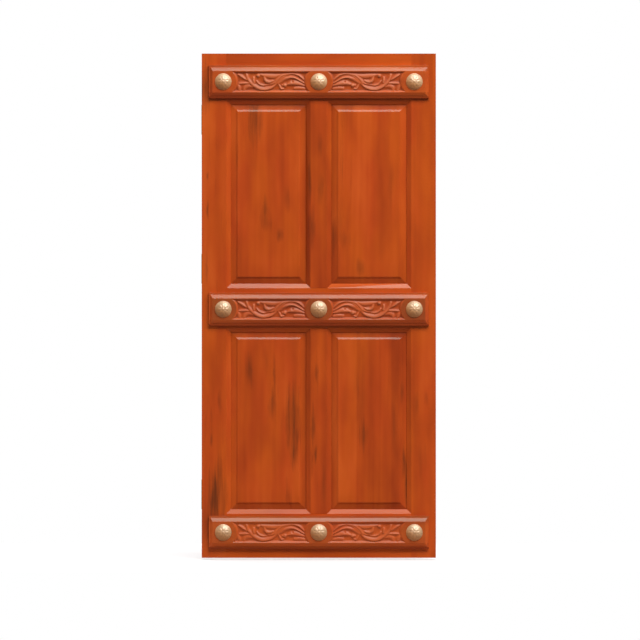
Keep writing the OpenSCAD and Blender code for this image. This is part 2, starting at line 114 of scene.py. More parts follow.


# Carving: strokes follow listed points, and their height is worked out on the bar's grid

# Strokes of the left recess: how far the crest leans down, then points of along, up, half width and
# height, counted from the recess's middle
STROKES = [
    # stem: its low curve, then up across the middle and over the arch
    (0.6, [[-104, 38, 4.5, 4.5], [-101, 24, 5, 5], [-96, 11, 5.6, 5.8], [-84, -3, 6.6, 6.4],
           [-70, -15, 7, 6.8], [-53, -24.5, 7.2, 7], [-34, -29, 7.2, 7], [-15, -27, 6.8, 6.6],
           [3, -21, 6, 6], [18, -11, 4.4, 4.6]]),
    (0.15, [[12, -14, 4.4, 4.4], [33, -1, 7.4, 4.8], [47, 8.5, 8, 5], [63, 15, 6.4, 5.8],
            [82, 19, 4.6, 6.6], [101, 16, 4.2, 6.8], [117, 8, 4, 6.6], [134, -2, 3.4, 5.8],
            [146, -8, 2.6, 4.4]]),
    # outer leaf from the crossing over the arch
    (0.6, [[-17, -11, 2.6, 3.4], [2, -7, 4.6, 4.8], [17, 0, 7, 5.8], [30, 13, 8.4, 6.4],
           [47, 27, 8, 6.4], [67, 34, 6, 6.2], [89, 37, 5.2, 6.2], [112, 31, 5.2, 6],
           [129, 19, 4.6, 5.4], [142, 5, 3, 4.2]]),
    # leaflet that springs from the stem, and the curl along it
    (0.1, [[-73, 17, 4.2, 5.4], [-73.5, 7, 5.4, 6.5], [-72, -3, 5, 6.5]]),
    (0.4, [[-60, 3, 3.2, 4.4], [-50, -8.5, 4, 5.2], [-35, -14, 4, 5.2], [-21, -14, 2.8, 4.2]]),
    # comma leaf beside the bud, and the broad leaf above it
    (0.4, [[-28, 20, 4.4, 5.6], [-24, 8.5, 6, 6.6], [-16, 2, 6.6, 6.9], [-3, 1.5, 5.8, 6.6],
           [9, 6, 3.4, 5]]),
    (0.3, [[-43, 32, 5, 3.8], [-26, 28.5, 8, 4.8], [-5, 25, 9, 5.2], [16, 24, 8, 5], [35, 30, 4, 4.2]]),
    # acanthus leaf under the arch, and the leaf below it
    (0.35, [[70, -10, 4.6, 5], [87, -4.5, 8, 6.6], [105, -4.5, 8.6, 6.8], [124, -9, 7, 6.2],
            [143, -15.5, 3.4, 4.2]]),
    (-0.1, [[99, -29, 6, 4], [119, -27, 7.6, 4.8], [139, -30, 6, 4]]),
    # hook under the crossing
    (0.4, [[32, -10, 3, 4], [38.5, -21, 4, 5.2], [43, -29, 4.2, 5.8], [53, -27.5, 2.8, 4.6]]),
    # leaflets beside the outer boss
    (0.4, [[-139, 32, 3.4, 4], [-127, 25, 5.2, 5.6], [-113, 15, 5, 5.6], [-104, 8.5, 3, 4.6]]),
    (0.3, [[-135, -6, 4, 4.4], [-118, -5, 5, 5.4], [-98, -5, 4.6, 5.4], [-87, -8, 3, 4.4]]),
    (0.1, [[-113, -36, 6, 3.8], [-109.5, -24, 8, 4.8], [-97, -17.5, 8, 4.8], [-80, -21, 5, 4.2]]),
    (0.1, [[-142, -13, 6, 4.2], [-136, -23, 7.4, 4.6], [-132, -35, 6, 3.8]]),
]
# Grooves cut between them: points of along, up, half width and depth
GROOVES = [
    [[20, -5, 1.6, 2], [30, 5.5, 2.6, 4.4], [42, 17, 3, 5], [58, 26.5, 3, 5], [86, 30.5, 2.8, 5],
     [110, 25, 2.6, 4.8], [129, 11, 2.4, 4.6], [143, -2, 1.8, 3]],
    [[56, -6, 1.6, 2], [70, 6.5, 2, 3.6], [87, 11.5, 2, 3.8], [105, 8.5, 2, 3.8], [124, -2, 2, 3.6],
     [143, -13, 1.6, 3]],
    [[-30, -16, 1.8, 3], [-14, -16.5, 2.4, 4.6], [2, -14.5, 2.2, 4.4], [16, -7, 1.6, 2.6]],
    [[71, -14, 2, 3.6], [83, -18.5, 2.6, 4.6], [91, -24, 2.6, 4.6], [97, -34, 2, 3.6]],
    [[91, -19.5, 2, 3.6], [115, -19, 2.2, 3.8], [138, -22, 1.8, 3]],
    [[24, -9, 2, 3], [31, -20, 2.6, 4.4], [40, -33, 2.2, 3.6]],
    [[-137, 22, 2.2, 3.4], [-122, 13, 2.4, 3.8], [-112, 7, 1.6, 2.4]],
    [[-130, 0.5, 2, 3], [-113, 1.5, 2.2, 3.6], [-98, 0.5, 1.8, 3]],
]
GROOVE_SHARE = 0.75
GROOVE_SINK = 0.8
# Buds, and an eye drilled into a leaf: along, up, radius
BALLS = [[-54, 26, 9.4], [58.5, -15, 9.6], [49, -15, 6.4]]
BALL_SINK = 0.25
EYES = [[91.5, 0.0, 3.2]]
EYE_D = 5.0
# Steps to each gap between a stroke's points, its roundness, and how far it spreads past its half width
STROKE_SAMPLES = 14
STROKE_SOFT = 1.1
STROKE_SPREAD = 1.5


def smooth_line(points, samples):
    """Smooth line through the points, with samples steps to each gap: a cubic from point to point whose
    slope at each point is half the step between its two neighbours."""
    p = np.asarray(points, float)
    p = np.vstack([p[:1], p, p[-1:]])
    t = np.linspace(0, 1, samples, endpoint=False)[None, :, None]
    a, b, c, d = (p[i:len(p) - 3 + i, None, :] for i in range(4))
    line = b + (c - a) * t / 2 + (2 * a - 5 * b + 4 * c - d) * t ** 2 / 2
    line = line + (3 * b - a - 3 * c + d) * t ** 3 / 2
    return np.vstack([line.reshape(-1, p.shape[1]), p[-1:]])


def along_line(x, z, points, spread=1.0):
    """For the grid points near a smooth line: which they are, the line's nearest values, the signed distance
    as a share of its half width there, and how far its left side faces up."""
    line = smooth_line(points, STROKE_SAMPLES)
    line[:, 2] *= spread
    reach = line[:, 2].max()
    near = (x > line[:, 0].min() - reach) & (x < line[:, 0].max() + reach)
    near &= (z > line[:, 1].min() - reach) & (z < line[:, 1].max() + reach)
    offset_x = x[near][:, None] - line[None, :, 0]
    offset_z = z[near][:, None] - line[None, :, 1]
    closest = np.hypot(offset_x, offset_z).argmin(1)
    here = np.arange(len(closest))
    ahead = np.gradient(line[:, :2], axis=0)
    ahead = (ahead / np.linalg.norm(ahead, axis=1, keepdims=True))[closest]
    side = ahead[:, 0] * offset_z[here, closest] - ahead[:, 1] * offset_x[here, closest]
    away = np.hypot(offset_x[here, closest], offset_z[here, closest])
    share = np.where(side < 0, -away, away) / line[closest, 2]
    return near, line[closest], share, ahead[:, 0]


def stroke_height(x, z, lean, points):
    """Height of one stroke: its points' height times a power of one less the squared share of the way from
    the crest to the edge, with the crest moved down by the lean."""
    near, here, share, upward = along_line(x, z, points, STROKE_SPREAD)
    crest = -lean * upward
    fall = np.where(share > crest, (share - crest) / (1 - crest), (crest - share) / (1 + crest))
    height = np.zeros_like(x)
    height[near] = here[:, 3] * np.clip(1 - np.clip(fall, 0, 1) ** 2, 0, 1) ** STROKE_SOFT
    return height


def groove_depth(x, z, points):
    """Depth of one groove: its points' depth on the line, with a smooth step up to its edges."""
    near, here, share, _ = along_line(x, z, points)
    depth = np.zeros_like(x)
    depth[near] = here[:, 3] * (1 - smooth_step(np.abs(share)))
    return depth


def carving_height(x, z):
    """Height of the left recess's carving over its floor: the highest stroke, less the grooves, then the
    highest of that and the spherical buds, less the eyes' bell-shaped pits."""
    height = np.zeros_like(x)
    for lean, points in STROKES:
        height = np.maximum(height, stroke_height(x, z, lean, points))
    for points in GROOVES:
        height = height - GROOVE_SHARE * groove_depth(x, z, points)
    height = np.maximum(height, -GROOVE_SINK)
    for middle_x, middle_z, radius in BALLS:
        inside = np.clip(radius ** 2 - (x - middle_x) ** 2 - (z - middle_z) ** 2, 0, None)
        height = np.maximum(height, np.sqrt(inside) - BALL_SINK * radius)
    for middle_x, middle_z, radius in EYES:
        height = height - EYE_D * np.exp(-((x - middle_x) ** 2 + (z - middle_z) ** 2) / radius ** 2)
    return height


def graded_lines(half, pitch, features):
    """Symmetric grid lines from -half to half about a pitch apart, with lines on each feature."""
    marks = np.unique(np.concatenate([[-half, half], features, -np.asarray(features)]))
    steps = np.maximum(1, np.round(np.diff(marks) / pitch).astype(int))
    parts = [np.linspace(a, b, n, endpoint=False) for a, b, n in zip(marks[:-1], marks[1:], steps)]
    return np.concatenate(parts + [[half]])


# Grid of a bar's front, and how its edges and bevels are rounded
BAR_PITCH_X = 1.7
BAR_PITCH_Z = 1.35
BAR_EDGE_ROUND = 0.7
EDGE_STEPS = (0.1, 0.4, 1.0)
ROUND_POWER = 0.86
# Carving: how far it stays under the face and clear of the upper wall, and its softening in grid cells
FACE_SHY = 0.3
WALL_CLEAR = 5.0
SOFT_CELLS = 1
FILLET_CELLS = 5
FILLET_SHARE = 0.6
# Painted light and shade of a bar: reach in grid cells, the height difference that counts in full, and
# shades of each bar
HOLLOW_CELLS = 4
HOLLOW_FULL = 3.0
BROAD_CELLS = 11
BROAD_FULL = 5.0
LOWER_FULL = 2.6
CREST_FULL = 3.0
RAISED_FULL = 6.6
WITHIN_GAIN = 3.0
FOOT_BLEND = 4.0
LINTEL_BLEND = 3.0
LAND_EDGE = 0.05
LAND_CELLS = 1
CONTRAST = {"top": 1.0, "middle": 0.75, "bottom": 0.3}
FOOT_SHADE = {"top": 1.6, "middle": 1.4, "bottom": 1.6}
LINTEL_SHADE = {"top": 1.0, "middle": 0.55, "bottom": 0.1}
LAND_DARKENING = {"top": 0.1, "middle": 0.4, "bottom": 0.2}
UPPER_SHADE = {"top": 0.14, "middle": 0.08, "bottom": 0.2}


def box_blur(values, cells):
    """Mean over a square of cells to each side, with the edge values carried on outside."""
    for axis in (0, 1):
        ends = [(cells + 1, cells) if a == axis else (0, 0) for a in (0, 1)]
        total = np.cumsum(np.pad(values, ends, mode="edge"), axis)
        count = values.shape[axis]
        ahead = np.take(total, np.arange(count) + 2 * cells + 1, axis)
        values = (ahead - np.take(total, np.arange(count), axis)) / (2 * cells + 1)
    return values


def store(piece, label, values):
    """Keeps one number for each point of a piece, for its material."""
    attribute = piece.data.attributes.new(label, "FLOAT", "POINT")
    attribute.data.foreach_set("value", values.astype(np.float32))


def bar_height(x, z, half_l, half_h, thick, boss_x):
    """Height of a bar's front, and how far a point lies inside a recess: from the edge inwards a ledge with
    a rounded arris, mitred bevels that climb with the lesser distance, and the face; in the face a recess to
    each side of the middle boss, with sloping walls, and the carving on its floor."""
    in_x = half_l - np.abs(x)
    in_z = half_h - np.abs(z)
    slope_x = (in_x - LEDGE_END_W) / BEVEL_END_W
    slope_z = (in_z - LEDGE_W) / BEVEL_W
    climb = np.clip(np.minimum(slope_x, slope_z), 0, 1) ** ROUND_POWER
    height = LEDGE_T + (thick - LEDGE_T) * climb
    edge = np.clip(np.minimum(in_x, in_z), 0, BAR_EDGE_ROUND)
    height = height - BAR_EDGE_ROUND + np.sqrt(BAR_EDGE_ROUND ** 2 - (BAR_EDGE_ROUND - edge) ** 2)
    walls = [(RECESS_H / 2 - np.abs(z)) / WALL_W]
    walls += [(np.hypot(x - c, z) - LAND_R) / WALL_W for c in (-boss_x, 0, boss_x)]
    walls += [(boss_x - np.abs(x)) / WALL_W]
    inside = np.clip(np.minimum.reduce(walls), 0, 1)
    cut = RECESS_D * inside
    relief = carving_height(-np.abs(x) + boss_x / 2, z)
    relief = relief * np.clip((RECESS_H / 2 - WALL_CLEAR - z) / WALL_W, 0, 1)
    relief = np.maximum(box_blur(relief, SOFT_CELLS), FILLET_SHARE * box_blur(relief, FILLET_CELLS))
    raised = np.maximum(relief + cut - RECESS_D, 0)
    floor = thick - cut + np.maximum(raised, np.minimum(relief, 0) * inside)
    floor = np.minimum(floor, thick - FACE_SHY)
    return np.where((cut > 0) & (climb >= 1), floor, height), inside


def bar_masks(level, z, height, inside, thick, half_h):
    """Masks of a bar's front for its material. Hollow is painted shade: how far a point lies under the
    mean of its neighbours, with a painted shadow on the foot and a dark painted line under the recess's
    upper wall. Crest is a painted highlight by how far it lies over them, and raised its squared height
    over the recess's floor, where the sheen is painted. The last mask darkens the lands and paints shade on
    the upper ledge and bevel."""
    within = np.clip(WITHIN_GAIN * inside, 0, 1)
    fine = box_blur(height, HOLLOW_CELLS) - height
    broad = box_blur(height, BROAD_CELLS) - height
    # Painted shade: in hollows, on the lower ledge and bevel, on the foot and under the upper wall
    dips = np.clip(fine / HOLLOW_FULL, 0, 1) + np.clip(broad / BROAD_FULL, 0, 1)
    hollow = np.where(z < -RECESS_H / 2, broad / LOWER_FULL, within * dips * CONTRAST[level])
    foot = smooth_step((LEDGE_W + FOOT_BLEND / 2 - half_h - z) / FOOT_BLEND)
    hollow = np.maximum(np.clip(hollow, 0, 1), FOOT_SHADE[level] * foot)
    lintel = smooth_step((z - RECESS_H / 2 + WALL_W) / LINTEL_BLEND) * within
    hollow = np.maximum(hollow, LINTEL_SHADE[level] * lintel)
    # Painted highlight on crests, and the height that takes a painted sheen
    crest = -within * fine / CREST_FULL * CONTRAST[level]
    raised = inside * np.clip((height - thick + RECESS_D) / RAISED_FULL, 0, 1) ** 2
    # Lands made darker, and painted shade on the upper ledge and bevel
    land = box_blur(((height > thick - LAND_EDGE) & (inside <= 0)).astype(float), LAND_CELLS)
    upper = z > half_h - LEDGE_W - BEVEL_W
    darkening = np.where(upper, UPPER_SHADE[level], LAND_DARKENING[level] * land)
    return {"hollow": hollow, "crest": crest, "worked": inside, "raised": raised, "darkening": darkening}


def carved_bar(level):
    """A carved bar: a height grid for its front, closed by its four edges and a flat back."""
    node = f"{level}_carved_bar"
    length, thick, tall = node_size(node)
    middle_x, _, middle_z = node_middle(node)
    boss_x = node_middle(f"{level}_right_boss")[0] - middle_x
    half_l = length / 2
    half_h = tall / 2
    crown_x = half_l - LEDGE_END_W - BEVEL_END_W
    crown_z = half_h - LEDGE_W - BEVEL_W
    rounds = [BAR_EDGE_ROUND * step for step in EDGE_STEPS]
    across = [half_l - inset for inset in rounds] + [half_l - LEDGE_END_W, crown_x]
    upward = [half_h - inset for inset in rounds] + [half_h - LEDGE_W, crown_z]
    upward += [RECESS_H / 2, RECESS_H / 2 - WALL_W]
    x, z = np.meshgrid(graded_lines(half_l, BAR_PITCH_X, across), graded_lines(half_h, BAR_PITCH_Z, upward))
    height, inside = bar_height(x, z, half_l, half_h, thick, boss_x)
    front = np.stack([x + middle_x, -height, z + middle_z], -1).reshape(-1, 3)
    rows, columns = x.shape
    number = np.arange(rows * columns).reshape(rows, columns)
    rim = np.concatenate([number[0, :-1], number[:-1, -1], number[-1, :0:-1], number[:0:-1, 0]])
    back = front[rim].copy()
    back[:, 1] = 0
    behind = rows * columns + np.arange(len(rim))
    ahead = np.roll(np.arange(len(rim)), -1)
    sides = np.stack([rim, behind, behind[ahead], rim[ahead]], -1)
    faces = grid_quads(rows, columns).tolist() + sides.tolist() + [behind[::-1].tolist()]
    piece = new_piece(f"{level}_carving", np.vstack([front, back]), faces, "leaf", [node])
    for label, values in bar_masks(level, z, height, inside, thick, half_h).items():
        store(piece, label, np.concatenate([np.clip(values, 0, None).ravel(), np.zeros(len(rim))]))
    return piece


# Bosses

# Grid of a boss, and its ornament in shares of its radius and in millimetres of rise
BOSS_RINGS = 60
BOSS_SPOKES = 192
PETALS = 8
PETAL_IN = 0.15
PETAL_OUT = 0.70
PETAL_RISE = 1.1
PETAL_POWER = 0.7
VEIN_D = 0.12
VEIN_W = 0.05
SCALLOPS = 16
SCALLOP_IN = 0.70
SCALLOP_RISE = 0.6
SCALLOP_POWER = 0.6
KNOB_R = 0.17
KNOB_RISE = 1.5
DIMPLE_D = 0.9
DIMPLE_RING = 0.55
DIMPLE_SIZE = 0.075
# Boss: the rise, as a share of a petal's, under which it is dull, and where the wood's reflection is painted
BOSS_HOLLOW = 0.6
REFLECTION_MIDDLE = 0.4
REFLECTION_RIGHT = 0.35
REFLECTION_UP = 0.75


def boss_ornament(share, angle):
    """Ornament over a boss's dome: petals and rim scallops that swell as a sine outwards and as a power of a
    cosine around, bell-shaped veins and dimples cut into them, and a knob that is half an ellipsoid."""
    lobe = np.abs(np.cos(angle * PETALS / 2))
    along = np.clip((share - PETAL_IN) / (PETAL_OUT - PETAL_IN), 0, 1)
    swell = np.sqrt(np.sin(np.pi * along))
    rise = PETAL_RISE * lobe ** PETAL_POWER * swell
    step = 2 * np.pi / PETALS
    across = share * (angle - np.round(angle / step) * step)
    rise = rise - VEIN_D * np.exp(-(across / VEIN_W) ** 2) * swell
    outer = np.clip((share - SCALLOP_IN) / (1 - SCALLOP_IN), 0, 1)
    scallop = np.abs(np.cos(angle * SCALLOPS / 2)) ** SCALLOP_POWER
    rise = rise + SCALLOP_RISE * scallop * np.sqrt(np.sin(np.pi * outer))
    rise = np.maximum(rise, KNOB_RISE * np.sqrt(np.clip(1 - (share / KNOB_R) ** 2, 0, 1)))
    nearest = (np.floor(angle / step) + 0.5) * step
    gap = np.hypot(share - DIMPLE_RING, DIMPLE_RING * (angle - nearest))
    return rise - DIMPLE_D * np.exp(-(gap / DIMPLE_SIZE) ** 2)


def boss_dome(share, radius):
    """Plain dome of a boss over its seat: a spherical cap that springs from a thin rim."""
    cap_r = radius - BOSS_RIM_LEDGE
    cap_h = BOSS_DOME_H - BOSS_RIM_T
    dome_r = (cap_r ** 2 + cap_h ** 2) / (2 * cap_h)
    inside = np.clip(dome_r ** 2 - (share * radius) ** 2, 0, None)
    return np.maximum(BOSS_DOME_H - dome_r + np.sqrt(inside), BOSS_RIM_T)


def boss(level, place):
    """A boss: rings about its axis from the knob to the rim, then down to its seat, closed by a disc."""
    node = f"{level}_{place}_boss"
    middle_x, _, middle_z = node_middle(node)
    radius = node_size(node)[0] / 2
    seat = -node_size(f"{level}_carved_bar")[1]
    share = np.linspace(0, 1, BOSS_RINGS + 1)[1:]
    angle = np.linspace(0, 2 * np.pi, BOSS_SPOKES, endpoint=False)
    s, a = np.meshgrid(share, angle, indexing="ij")
    ornament = boss_ornament(s, a)
    height = np.vstack([boss_dome(s, radius) + ornament, np.zeros((1, BOSS_SPOKES))])
    s = np.vstack([s, s[-1:]])
    a = np.vstack([a, a[-1:]])
    out = s * radius
    ring = np.stack([middle_x + out * np.sin(a), seat - height, middle_z + out * np.cos(a)], -1)
    tip = [[middle_x, seat - BOSS_DOME_H - KNOB_RISE, middle_z]]
    points = np.vstack([ring.reshape(-1, 3), tip])
    last = len(points) - 1
    quads = grid_quads(BOSS_RINGS + 1, BOSS_SPOKES, wrap=True)[:, ::-1].tolist()
    spokes = np.arange(BOSS_SPOKES)
    fan = np.stack([np.full(BOSS_SPOKES, last), np.roll(spokes, -1), spokes], -1)[:, ::-1].tolist()
    seat_ring = (BOSS_RINGS * BOSS_SPOKES + spokes).tolist()
    faces = quads + fan + [seat_ring]
    piece = new_piece(f"{level}_{place}_rosette", points, faces, "leaf", [node])
    hollow = np.clip(BOSS_HOLLOW - ornament / PETAL_RISE, 0, 1)
    store(piece, "hollow", np.concatenate([hollow.ravel(), np.ones(BOSS_SPOKES), [0]]))
    # Painted reflection of the warm wood, strongest towards the lower left
    reflected_wood = smooth_step(REFLECTION_MIDDLE - s * (REFLECTION_RIGHT * np.sin(a) + REFLECTION_UP * np.cos(a)))
    store(piece, "reflected_wood", np.concatenate([reflected_wood.ravel(), [REFLECTION_MIDDLE]]))
    return piece


# Node trees

def srgb(red, green, blue):
    """Linear colour from red, green and blue of 0 to 255, by the display's curve: straight near black, and a
    power above it."""
    share = np.array([red, green, blue]) / 255
    linear = np.where(share <= 0.04045, share / 12.92, ((share + 0.055) / 1.055) ** 2.4)
    return (*linear.tolist(), 1.0)


class Tree:
    """A node tree with short calls that add a node and give its output."""

    def __init__(self, tree):
        self.tree = tree
        self.nodes = tree.nodes

    def join(self, value, socket):
        """Links a socket to an input, or sets the input to a plain value."""
        if isinstance(value, bpy.types.NodeSocket):
            self.tree.links.new(value, socket)
        else:
            socket.default_value = value

    def add(self, kind, inputs=None, **settings):
        """Adds a node, with settings on it and values or sockets on its inputs."""
        node = self.nodes.new(kind)
        for key, value in settings.items():
            setattr(node, key, value)
        for key, value in (inputs or {}).items():
            self.join(value, node.inputs[key])
        return node

    def math(self, operation, first, second=0.0, clamp=False):
        """What an operation makes of two numbers."""
        inputs = {0: first, 1: second}
        return self.add("ShaderNodeMath", inputs, operation=operation, use_clamp=clamp).outputs[0]

    def vector(self, operation, first, second=(0, 0, 0)):
        """What an operation makes of two vectors."""
        return self.add("ShaderNodeVectorMath", {0: first, 1: second}, operation=operation).outputs[0]

    def sideways(self, across):
        """A vector along X."""
        return self.add("ShaderNodeCombineXYZ", {0: across}).outputs[0]

    def parts(self, vector):
        """The three numbers of a vector."""
        return self.add("ShaderNodeSeparateXYZ", {0: vector}).outputs

    def noise(self, vector, scale, detail, rough):
        """Cloudy noise about 0.5."""
        inputs = {"Vector": vector, "Scale": scale, "Detail": detail, "Roughness": rough}
        return self.add("ShaderNodeTexNoise", inputs).outputs[0]

    def swing(self, value, amount):
        """A value about 0.5 turned into one about 0 and scaled."""
        return self.math("MULTIPLY", self.math("SUBTRACT", value, 0.5), amount)

    def attribute(self, label):
        """A number kept with the piece's points."""
        return self.add("ShaderNodeAttribute", attribute_name=label).outputs["Fac"]

    def group(self, group, inputs):
        """Outputs of a node group that is placed with its own values."""
        return self.add("ShaderNodeGroup", inputs, node_tree=group).outputs

    def bump(self, height, strength, distance):
        """Normal of a surface that rises with the height."""
        inputs = {"Height": height, "Strength": strength, "Distance": distance}
        return self.add("ShaderNodeBump", inputs).outputs[0]

    def spread(self, value, low, high, to_low=0.0, to_high=1.0):
        """Maps low..high to to_low..to_high, held at both ends."""
        inputs = {0: value, 1: low, 2: high, 3: to_low, 4: to_high}
        return self.add("ShaderNodeMapRange", inputs, clamp=True).outputs[0]

    def mix(self, share, first, second):
        """Colour between two colours."""
        node = self.add("ShaderNodeMix", {"Factor": share}, data_type="RGBA")
        self.join(first, node.inputs[6])
        self.join(second, node.inputs[7])
        return node.outputs[2]

    def ramp(self, value, low, middle, high):
        """Colour from low through middle to high as the value goes from 0 to 1."""
        first = self.mix(self.spread(value, 0.0, 0.5), low, middle)
        return self.mix(self.spread(value, 0.5, 1.0), first, high)


FLOAT = "NodeSocketFloat"
VECTOR = "NodeSocketVector"
COLOUR = "NodeSocketColor"
WHITE = (1.0, 1.0, 1.0, 1.0)
ORIGIN = (0, 0, 0)


def node_group(name, inputs, outputs):
    """An empty shader node group with inputs of (name, kind, default) and outputs of (name, kind); gives the
    group, its tree, and what it is given and results in."""
    group = bpy.data.node_groups.new(name, "ShaderNodeTree")
    for label, kind, default in inputs:
        group.interface.new_socket(label, in_out="INPUT", socket_type=kind).default_value = default
    for label, kind in outputs:
        group.interface.new_socket(label, in_out="OUTPUT", socket_type=kind)
    tree = Tree(group)
    return group, tree, tree.add("NodeGroupInput").outputs, tree.add("NodeGroupOutput").inputs


def new_material(name):
    """A material with its node tree and its shader's inputs."""
    material = bpy.data.materials.new(name)
    material.use_nodes = True
    tree = Tree(material.node_tree)
    return material, tree, tree.nodes["Principled BSDF"].inputs


# Teak

# How far the figure is drawn out along the grain
DRAWN = (1, 1, 0.06)
DRAWN_LINES = (1, 1, 0.02)
DRAWN_CLOUDS = (1, 1, 0.3)
# Noises of the figure: scale, detail and roughness; then ranges, and swings of the tone about its middle
SWAY = (6.0, 2.0, 0.5)
SWAY_WIDTH = 0.09
STREAKS = (15.0, 1.0, 0.5)
STREAK_SWING = 0.75
CLOUDS = (13.0, 2.0, 0.5)
CLOUD_SWING = 0.85
GROWTH_RINGS = {"Scale": 11.0, "Distortion": 7.0, "Detail": 3.0, "Detail Scale": 1.4,
                "Detail Roughness": 0.6}
RING_SWING = 0.06
FIBRES = (210.0, 3.0, 0.6)
FIBRE_SWING = 0.05
FIBRE_RISE = 0.5
PORES = (900.0, 2.0, 0.5)
PORE_RANGE = (0.58, 0.7)
MIDDLE_TONE = 0.5
WARM_CLOUDS = (9.0, 2.0, 0.5)
WARM_RANGE = (0.35, 0.65)
FLECK_PATCHES = (8.0, 2.0, 0.5)
PATCH_RANGE = (0.52, 0.68)
FLECK_LINES = (46.0, 4.0, 0.65)
LINE_RANGE = (0.58, 0.74)


def teak_figure_group():
    """Figure of teak along Z: soft clouds, streaks, growth rings and fibres add up to the tone, dark flecks
    lie in patches, and the fibre's height falls where pores are open."""
    group, tree, given, result = node_group(
        "teak_figure", [("Grain", VECTOR, ORIGIN)],
        [("Tone", FLOAT), ("Warmth", FLOAT), ("Fleck", FLOAT), ("Fibre", FLOAT)])
    grain = given["Grain"]
    drawn = tree.vector("MULTIPLY", grain, DRAWN)
    sway = tree.sideways(tree.swing(tree.noise(drawn, *SWAY), SWAY_WIDTH))
    swayed = tree.vector("ADD", drawn, sway)
    lines = tree.vector("MULTIPLY", grain, DRAWN_LINES)
    soft = tree.vector("MULTIPLY", grain, DRAWN_CLOUDS)
    rings = tree.add("ShaderNodeTexWave", {"Vector": swayed, **GROWTH_RINGS}).outputs["Fac"]
    fibre = tree.noise(lines, *FIBRES)
    tone = tree.math("ADD", MIDDLE_TONE, tree.swing(tree.noise(swayed, *STREAKS), STREAK_SWING))
    tone = tree.math("ADD", tone, tree.swing(tree.noise(soft, *CLOUDS), CLOUD_SWING))
    tone = tree.math("ADD", tone, tree.swing(rings, RING_SWING))
    tree.join(tree.math("ADD", tone, tree.swing(fibre, FIBRE_SWING), clamp=True), result["Tone"])
    tree.join(tree.spread(tree.noise(soft, *WARM_CLOUDS), *WARM_RANGE), result["Warmth"])
    patch = tree.spread(tree.noise(drawn, *FLECK_PATCHES), *PATCH_RANGE)
    fleck = tree.spread(tree.noise(swayed, *FLECK_LINES), *LINE_RANGE)
    tree.join(tree.math("MULTIPLY", patch, fleck), result["Fleck"])
    pores = tree.spread(tree.noise(lines, *PORES), *PORE_RANGE)
    tree.join(tree.math("SUBTRACT", tree.math("MULTIPLY", fibre, FIBRE_RISE), pores), result["Fibre"])
    return group


# Dark wisps: how they wave, the narrowest they taper to, and the fine lines that break them up
WISP_WAVE = (11.0, 3.0, 0.6)
WISP_WAVE_WIDTH = 0.02
WISP_NARROWEST = 0.15
WISP_DRAWN = (1, 1, 0.07)
WISP_LINES = (85.0, 3.0, 0.5)
WISP_BREAKS = (0.35, 0.6)
WISP_BREAK_LEFT = 0.62
WISP_EDGE = (0.15, 0.95)


def dark_wisp_group():
    """Dark wisp about a centre: an ellipse that narrows upwards and waves, feathered along the grain."""
    group, tree, given, result = node_group(
        "dark_wisp",
        [("Place", VECTOR, ORIGIN), ("Centre", VECTOR, ORIGIN), ("Over radius", VECTOR, (1, 0, 1)),
         ("Taper", FLOAT, 0.0), ("Ragged", FLOAT, 1.0), ("Strength", FLOAT, 1.0)],
        [("Mask", FLOAT)])
    place = given["Place"]
    wave = tree.sideways(tree.swing(tree.noise(place, *WISP_WAVE), WISP_WAVE_WIDTH))
    offset = tree.vector("SUBTRACT", tree.vector("ADD", place, wave), given["Centre"])
    across, _, up = tree.parts(tree.vector("MULTIPLY", offset, given["Over radius"]))
    narrow = tree.math("SUBTRACT", 1.0, tree.math("MULTIPLY", up, given["Taper"]))
    across = tree.math("DIVIDE", across, tree.math("MAXIMUM", narrow, WISP_NARROWEST))
    squares = tree.math("ADD", tree.math("MULTIPLY", across, across), tree.math("MULTIPLY", up, up))
    lines = tree.noise(tree.vector("MULTIPLY", place, WISP_DRAWN), *WISP_LINES)
    feather = tree.math("MULTIPLY", tree.swing(lines, 1.0), given["Ragged"])
    ragged = tree.math("ADD", tree.math("SQRT", squares), feather)
    broken = tree.spread(lines, *WISP_BREAKS, 1.0, WISP_BREAK_LEFT)
    body = tree.math("MULTIPLY", tree.spread(ragged, *WISP_EDGE, 1.0, 0.0), broken)
    tree.join(tree.math("MULTIPLY", body, given["Strength"], clamp=True), result["Mask"])
    return group


# Shade on a panel's slopes: their width, blurs and fades in metres, and how dark each part is
SLOPE_BAND = 0.0295
SLOPE_BLUR = 0.002
MITRE_BLUR = 0.004
LOWER_SHADE = 0.3
FOOT_FADE = 0.09
FOOT_DIM = 0.16
MULLION_SHADE = 0.36


def panel_slopes_group():
    """Shade of a panel over its foot: of its lower slope, mitred at the ends, of the field above it, and of
    the slope beside the mullion, the last two fading inwards."""
    group, tree, given, result = node_group(
        "panel_slopes", [("Place", VECTOR, ORIGIN), ("Foot", FLOAT, 0.0)], [("Mask", FLOAT)])
    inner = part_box("upper_mullion")[1][0]
    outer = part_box("closing_stile")[0][0]
    x, _, z = tree.parts(given["Place"])
    from_leaf_middle = tree.math("ABSOLUTE", x)
    from_middle = tree.math("ABSOLUTE", tree.math("SUBTRACT", from_leaf_middle, (outer + inner) / 2))
    from_foot = tree.math("SUBTRACT", z, given["Foot"])
    from_side = tree.math("SUBTRACT", (outer - inner) / 2, from_middle)
    mitre = tree.math("SUBTRACT", from_side, from_foot)
    below = tree.spread(from_foot, SLOPE_BAND - SLOPE_BLUR, SLOPE_BAND, LOWER_SHADE, 0.0)
    below = tree.math("MULTIPLY", tree.spread(mitre, -MITRE_BLUR, MITRE_BLUR), below)
    below = tree.math("MAXIMUM", below, tree.spread(from_foot, 0.0, FOOT_FADE, FOOT_DIM, 0.0))
    from_mullion = tree.math("SUBTRACT", from_leaf_middle, inner)
    beside = tree.spread(from_mullion, 0.0, SLOPE_BAND, MULLION_SHADE, 0.0)
    tree.join(tree.math("MAXIMUM", below, beside), result["Mask"])
    return group


